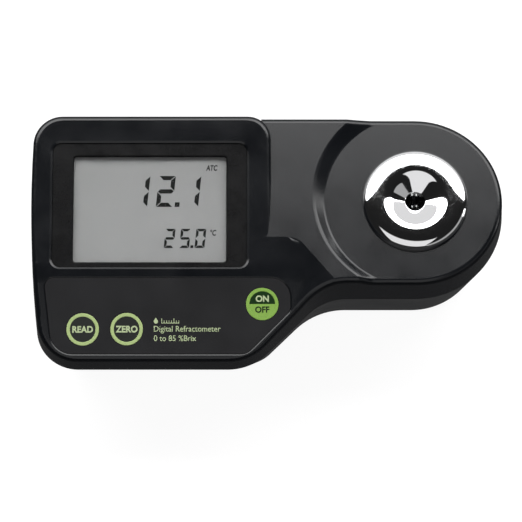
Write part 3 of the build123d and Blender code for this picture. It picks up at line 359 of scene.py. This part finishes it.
def annulus(name, inner, outer, low, high, steps=96):
    """Flat ring with a softly rounded top edge."""
    edge = (outer - inner) * 0.12
    profile = [(inner, low), (inner, high - edge / 3), (inner + edge, high), (outer - edge, high),
               (outer, high - edge / 3), (outer, low)]
    bm = bmesh.new()
    turns = []
    for i in range(steps):
        a = 2 * math.pi * i / steps
        turns.append([bm.verts.new((r * math.cos(a), r * math.sin(a), z)) for r, z in profile])
    for i in range(steps):
        for j in range(len(profile)):
            k = (j + 1) % len(profile)
            bm.faces.new((turns[i - 1][j], turns[i][j], turns[i][k], turns[i - 1][k]))
    bmesh.ops.recalc_face_normals(bm, faces=bm.faces)
    mesh = bpy.data.meshes.new(name)
    bm.to_mesh(mesh)
    bm.free()
    return mesh


# The seven strokes of a figure, in a cell one unit wide and two high: the outer edge of each,
# from end to end.
STROKES = {
    "a": ((0, 2), (1, 2)), "b": ((1, 2), (1, 1)), "c": ((1, 1), (1, 0)), "d": ((1, 0), (0, 0)),
    "e": ((0, 0), (0, 1)), "f": ((0, 1), (0, 2)), "g": ((0, 1), (1, 1)),
}
FIGURES = {"0": "abcdef", "1": "bc", "2": "abged", "5": "afgcd"}
CORNERS = ((-1, -1), (1, -1), (1, 1), (-1, 1))


def stroke(p, q, width, gap, middle):
    """Bar along the edge from p to q, with mitred ends, or pointed ones if it is the middle bar."""
    p, q = Vector(p), Vector(q)
    along = (q - p).normalized()
    inward = Vector((along.y, -along.x)) * width
    a, b = p + along * gap, q - along * gap
    if middle:
        point, half = along * width / 2, inward / 2
        return [a, a + point + half, b - point + half, b, b - point - half, a + point - half]
    mitre = along * width
    return [a, b, b - mitre + inward, a + mitre + inward]


def figures(text, left, base, width, height, pitch, weight, slant):
    """Outlines of seven-stroke figures, as (x, y) points; a dot sits between two figures."""
    outlines = []
    x = left
    for mark in text:
        if mark == ".":
            dot_x, r = x - (pitch - width) / 2, weight * 0.55
            outlines.append([(dot_x + r * i, base + r * (1 + j)) for i, j in CORNERS])
            continue
        for letter in FIGURES[mark]:
            p, q = [(px * width, py * height / 2) for px, py in STROKES[letter]]
            bar = stroke(p, q, weight, weight * 0.12, letter == "g")
            outlines.append([(x + v.x, base + v.y) for v in bar])
        x += pitch
    return [[(px + slant * (py - base), py) for px, py in outline] for outline in outlines]


CAP_SHARE = 0.7  # height of a capital over the size of its type
HAIR = 0.01 * MM  # half the thickness of a printed letter


def lettering(name, text, height, weight=0.0, narrow=1.0, slant=0.0):
    """Mesh of a word in plain letters, centred on the origin, a hair thick."""
    curve = bpy.data.curves.new(name, "FONT")
    curve.body = text
    curve.align_x, curve.align_y = "CENTER", "CENTER"
    curve.size = height / CAP_SHARE
    curve.offset = weight
    curve.extrude = HAIR
    curve.resolution_u = 4
    obj = bpy.data.objects.new(name, curve)
    bpy.context.scene.collection.objects.link(obj)
    final = obj.evaluated_get(bpy.context.evaluated_depsgraph_get())
    mesh = bpy.data.meshes.new_from_object(final)
    mesh.name = name
    bpy.data.objects.remove(obj)
    xs = [v.co.x for v in mesh.vertices]
    ys = [v.co.y for v in mesh.vertices]
    shift = Vector((-(min(xs) + max(xs)) / 2, -(min(ys) + max(ys)) / 2, 0))
    shape = Matrix(((narrow, slant, 0, 0), (0, 1, 0, 0), (0, 0, 1, 0), (0, 0, 0, 1)))
    mesh.transform(shape @ Matrix.Translation(shift))
    return mesh


def at(face, x=0.0, y=0.0, z=0.0):
    """Matrix of face moved by x, y, z millimetres in its own axes."""
    return face @ Matrix.Translation(Vector((x, y, z)) * MM)


def millimetres(outlines):
    return [[(x * MM, y * MM) for x, y in outline] for outline in outlines]


# Display: a large reading with one decimal, the temperature below it, and two small signs.
READING = {"left": -8.0, "base": 1.45, "width": 6.8, "height": 12.95, "pitch": 10.3, "weight": 1.75}
WARMTH = {"left": 5.6, "base": -15.7, "width": 4.0, "height": 8.0, "pitch": 6.2, "weight": 1.05}
FIGURE_SLANT, SIGN_SLANT = 0.1, 0.12
INK_LOW, INK_HIGH = 0.02 * MM, 0.06 * MM
for name, text, cell in (
    ("reading_figures", "12.1", READING),
    ("temperature_figures", "25.0", WARMTH),
):
    outlines = millimetres(figures(text, slant=FIGURE_SLANT, **cell))
    piece(name, plates(name, outlines, INK_LOW, INK_HIGH), LCD_FACE, LCD_INK, "case")
for name, text, height, weight, narrow, x, y in (
    ("compensation_sign", "ATC", 2.2 * MM, 0.1 * MM, 0.7, 24.9, 17.75),
    ("degree_sign", "°C", 2.3 * MM, 0.08 * MM, 0.72, 25.5, -9.3),
):
    sign = lettering(name, text, height, weight, narrow, SIGN_SLANT)
    piece(name, sign, at(LCD_FACE, x, y, 0.04), LCD_INK, "case")

# Keys: a lime ring round each face, with its word; the on/off key is deep green over lime.
RING_IN, RING_OUT, HALF_R = 5.15 * MM, 6.5 * MM, 5.13 * MM
PRINT_LOW, UPPER_HIGH, HALF_HIGH, RING_HIGH = 0.004 * MM, 0.02 * MM, 0.035 * MM, 0.05 * MM
KEY_WORDS = {  # piece, word, letter height, weight, narrowing, place up the key, height off it, ink
    "key_read": [("word_read", "READ", 2.5 * MM, 0.13 * MM, 0.94, 0, 0.03, PALE)],
    "key_zero": [("word_zero", "ZERO", 2.5 * MM, 0.13 * MM, 0.94, 0, 0.03, PALE)],
    "key_on_off": [
        ("word_on", "ON", 2.4 * MM, 0.12 * MM, 1.0, 2.15, 0.03, PALE),
        ("word_off", "OFF", 2.4 * MM, 0.1 * MM, 0.95, -2.25, 0.055, DARK),
    ],
}
for node, words in KEY_WORDS.items():
    face, short = key_face(node), node[4:]
    rim = annulus("ring_" + short, RING_IN, RING_OUT, PRINT_LOW, RING_HIGH)
    piece("ring_" + short, rim, face, RIM_LIME if len(words) == 1 else LIME, node)
    if len(words) == 2:
        half = plates("half_" + short, [arc(HALF_R, 180, 360, 48)], PRINT_LOW, HALF_HIGH)
        piece("half_" + short, half, face, LIME, node)
        upper = plates("upper_" + short, [arc(HALF_R, 0, 180, 48)], PRINT_LOW, UPPER_HIGH)
        piece("upper_" + short, upper, face, GREEN, node)
    for name, text, height, weight, narrow, y, z, ink in words:
        word = lettering(name, text, height, weight, narrow)
        piece(name, word, at(face, 0, y, z), ink, node)

# Right of the zero key: a drop beside a ruled scale, and two lines of plain description.
BLURB_X = 7.7  # millimetres right of the zero key's middle
MARK_X, MARK_Y = 4.0, 3.4
LINE_LEFT, LINE_TOP, LINE_PITCH = 3.2, -0.2, 3.45
LINE_H, LINE_WEIGHT, LINE_NARROW = 2.3 * MM, 0.01 * MM, 0.93
DROP_R, DROP_DOWN, DROP_TIP = 0.85, 0.35, 1.25
SCALE_LEFT, SCALE_RIGHT, SCALE_FOOT, SCALE_BAR = 2.2, 9.32, -1.1, 0.25
MARKS, MARK_PITCH, MARK_W, LONG_TOP, SHORT_TOP = 8, 0.98, 0.26, 0.9, 0.1


def upright(left, low, right, high):
    return [(left, low), (right, low), (right, high), (left, high)]


def drop_and_scale():
    """Outlines of a drop and a ruled scale with every fifth mark longer, in millimetres."""
    drop = [(x, y - DROP_DOWN) for x, y in arc(DROP_R, 150, 390, 24)] + [(0, DROP_TIP)]
    bar_top = SCALE_FOOT + SCALE_BAR
    outlines = [drop, upright(SCALE_LEFT, SCALE_FOOT, SCALE_RIGHT, bar_top)]
    for i in range(MARKS):
        x = SCALE_LEFT + i * MARK_PITCH
        outlines.append(upright(x, bar_top, x + MARK_W, SHORT_TOP if i % 5 else LONG_TOP))
    return outlines


blurb = at(key_face("key_zero"), BLURB_X, 0, 0.01)
mark = plates("scale_mark", millimetres(drop_and_scale()), 0, 0.02 * MM)
piece("scale_mark", mark, at(blurb, MARK_X, MARK_Y), PALE, "case")
LINES = (("word_kind", "Digital Refractometer"), ("word_range", "0 to 85 %Brix"))
for row, (name, words) in enumerate(LINES):
    mesh = lettering(name, words, LINE_H, LINE_WEIGHT, LINE_NARROW)
    half_width = max(v.co.x for v in mesh.vertices) / MM
    place = at(blurb, LINE_LEFT + half_width, LINE_TOP - row * LINE_PITCH)
    piece(name, mesh, place, PALE, "case")

# ---------------------------------------------------------------- sample well


# The ring in millimetres: radii, and heights above the face that sits on the case.
BORE_R, CREST_R, RING_R, NECK_R, POCKET_R = 4.0, 13.4, 21.2, 17.2, 11.0
BORE_LOW, BORE_TOP, CREST_H, RING_TOP, LIP, NECK_LOW = -2.3, -0.3, 3.98, 4.0, 0.4, -4.0
CONE_SLOPE, CONE_STEP, CONE_STEPS = math.tan(math.radians(30.0)), 0.25, 19
CURVE_STEPS, SHOULDER_STEPS, TURN_STEPS = 32, 64, 256
CROWN = 2.8  # 2 would make the shoulder an ellipse; more holds the crest flat for longer
EDGE = 0.05  # broken edges
CORNER_ANGLE = math.radians(40)


def well_profile():
    """Section of the ring as (radius, height), from the bore over the crest to the foot."""
    points = [(BORE_R, BORE_LOW), (BORE_R, BORE_TOP - EDGE), (BORE_R + EDGE, BORE_TOP)]
    for i in range(1, CONE_STEPS + 1):
        along = i * CONE_STEP
        points.append((BORE_R + EDGE + along, BORE_TOP + along * CONE_SLOPE))
    r0, z0 = points[-1]
    run = CREST_R - r0
    for i in range(1, CURVE_STEPS + 1):  # smooth run from the bowl's cone up to the crest
        t = i / CURVE_STEPS
        from_crest, from_slope = 3 * t**2 - 2 * t**3, t**3 - 2 * t**2 + t
        height = (1 - from_crest) * z0 + from_slope * run * CONE_SLOPE + from_crest * CREST_H
        points.append((r0 + run * t, height))
    for i in range(1, SHOULDER_STEPS + 1):  # shoulder, flat at the crest and steep at the rim
        a = math.pi / 2 * i / SHOULDER_STEPS
        x, y = math.sin(a) ** (2 / CROWN), math.cos(a) ** (2 / CROWN)
        points.append((CREST_R + (RING_R - CREST_R) * x, LIP + (CREST_H - LIP) * y))
    points += [(RING_R, EDGE), (RING_R - EDGE, 0.0), (NECK_R, 0.0)]
    points += [(NECK_R, NECK_LOW), (POCKET_R, NECK_LOW), (POCKET_R, BORE_LOW)]
    return points


def lathe(name, profile, steps):
    """Solid of revolution of a closed section in millimetres, smooth but for its corners."""
    bm = bmesh.new()
    turns = []
    for i in range(steps):
        a = 2 * math.pi * i / steps
        x, y = MM * math.cos(a), MM * math.sin(a)
        turns.append([bm.verts.new((r * x, r * y, z * MM)) for r, z in profile])
    for i in range(steps):
        for j in range(len(profile)):
            k = (j + 1) % len(profile)
            face = bm.faces.new((turns[i - 1][j], turns[i][j], turns[i][k], turns[i - 1][k]))
            face.smooth = True
    bmesh.ops.recalc_face_normals(bm, faces=bm.faces)
    mesh = bpy.data.meshes.new(name)
    bm.to_mesh(mesh)
    bm.free()
    mesh.set_sharp_from_angle(angle=CORNER_ANGLE)
    return mesh


foot = centre("well_ring")
foot.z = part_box("well_ring")[1][2] - RING_TOP * MM
ring_mesh = lathe("turned_ring", well_profile(), TURN_STEPS)
ring_place = Matrix.Translation(foot)
ring = piece("turned_ring", ring_mesh, ring_place, MATERIALS["well_steel"], "case")
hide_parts("well_ring")

# ---------------------------------------------------------------- snap domes

# Each dome is a copy of its part from the model, riding on the case.
for short in ("read", "zero", "on_off"):
    cad_dome = frame["nodes"]["dome_" + short]
    lo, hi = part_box("dome_" + short)
    mesh = cad_dome.data.copy()
    mesh.materials.clear()
    name, steel = "pressed_dome_" + short, MATERIALS["dome_steel"]
    dome = piece(name, mesh, cad_dome.matrix_world, steel, "case")
    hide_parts("dome_" + short)
    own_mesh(dome)

# ---------------------------------------------------------------- stage, light and camera


def pale_sweep():
    """White studio floor that glows like a light table, so that shadows on it stay faint."""
    s = Shader("stage", (0.16, 0.16, 0.16), 0.8, Emission_Strength=0.92)
    s.out.inputs["Emission Color"].default_value = (1, 1, 1, 1)
    s.rough(s.noise(0.2), 0.75, 0.85)
    return s.material


def stage_plane(size):
    """Floor under the instrument, left out of reflections, which show the dim room instead."""
    bm = bmesh.new()
    bmesh.ops.create_grid(bm, x_segments=2, y_segments=2, size=size)
    mesh = bpy.data.meshes.new("floor")
    bm.to_mesh(mesh)
    bm.free()
    obj = bpy.data.objects.new("floor", mesh)
    mesh.materials.append(pale_sweep())
    bpy.context.scene.collection.objects.link(obj)
    obj.visible_glossy = False


stage_plane(6.0)

lo, hi = cad_box
middle = Vector(((lo[0] + hi[0]) / 2, (lo[1] + hi[1]) / 2, hi[2]))


def panel(name, low, high, width, radiance, shape="RECTANGLE"):
    """Soft light of an even radiance between the middles of its low and high edges."""
    low, high = Vector(low), Vector(high)
    up = (high - low).normalized()
    across = up.cross((low + high) / 2 - middle).normalized()
    data = bpy.data.lights.new(name, "AREA")
    data.shape = shape
    data.size, data.size_y = width, (high - low).length
    fill = math.pi / 4 if shape == "ELLIPSE" else 1
    data.energy = radiance * math.pi * data.size * data.size_y * fill
    obj = bpy.data.objects.new(name, data)
    turn = Matrix((across, up, across.cross(up))).transposed()
    obj.matrix_world = Matrix.Translation((low + high) / 2) @ turn.to_4x4()
    bpy.context.scene.collection.objects.link(obj)


# Behind, a tall dim backdrop with a brighter panel over its upper part; a softbox above the front;
# a dimmer one at the right front; and a strip at the right.
panel("backdrop", (0, 1.6, -0.1), (0, 0.9, 2.3), 5.6, 0.8, "ELLIPSE")
panel("top_light", (0, 1.3, 0.92), (0, 0.9, 2.3), 5.6, 5.0, "ELLIPSE")
panel("front_softbox", (-0.25, -1.5, 0.95), (-0.1, -0.24, 1.8), 1.5, 0.85)
panel("side_softbox", (1.25, -0.85, 0.6), (1.0, -0.65, 1.15), 2.0, 0.4)
panel("side_strip", (1.6, 0.1, 0.1), (1.5, 0.1, 0.75), 0.25, 3.0)



def dark_room(above, below):
    """Dim surroundings, a little lighter below the horizon, in place of the floor's own light."""
    world = bpy.data.worlds.new("studio")
    world.use_nodes = True
    tree = world.node_tree
    place = tree.nodes.new("ShaderNodeTexCoord")
    axes = tree.nodes.new("ShaderNodeSeparateXYZ")
    height = tree.nodes.new("ShaderNodeMapRange")
    tree.links.new(place.outputs["Generated"], axes.inputs[0])
    tree.links.new(axes.outputs["Z"], height.inputs["Value"])
    for key, number in zip(RANGE_KEYS, (-0.1, 0.1, below, above)):
        height.inputs[key].default_value = number
    tree.links.new(height.outputs["Result"], tree.nodes["Background"].inputs[0])
    return world


bpy.context.scene.world = dark_room(0.014, 0.075)
bpy.context.scene.view_settings.view_transform = "Standard"


def camera():
    """Camera high above the front of the instrument, a long way off."""
    distance, elevation = 1.5, math.radians(71.3)
    target = Vector((-2.3, -8.5, 55.0)) * MM
    back = Vector((0, -math.cos(elevation), math.sin(elevation)))
    data = bpy.data.cameras.new("camera")
    field = 0.2106  # width of the view at the target
    data.sensor_width = 36
    data.lens = data.sensor_width * distance / field
    data.clip_start, data.clip_end = 0.1, 20
    obj = bpy.data.objects.new("camera", data)
    bpy.context.scene.collection.objects.link(obj)
    obj.location = target + back * distance
    obj.rotation_mode = "QUATERNION"
    obj.rotation_quaternion = (-back).to_track_quat("-Z", "Y")
    bpy.context.scene.camera = obj


camera()
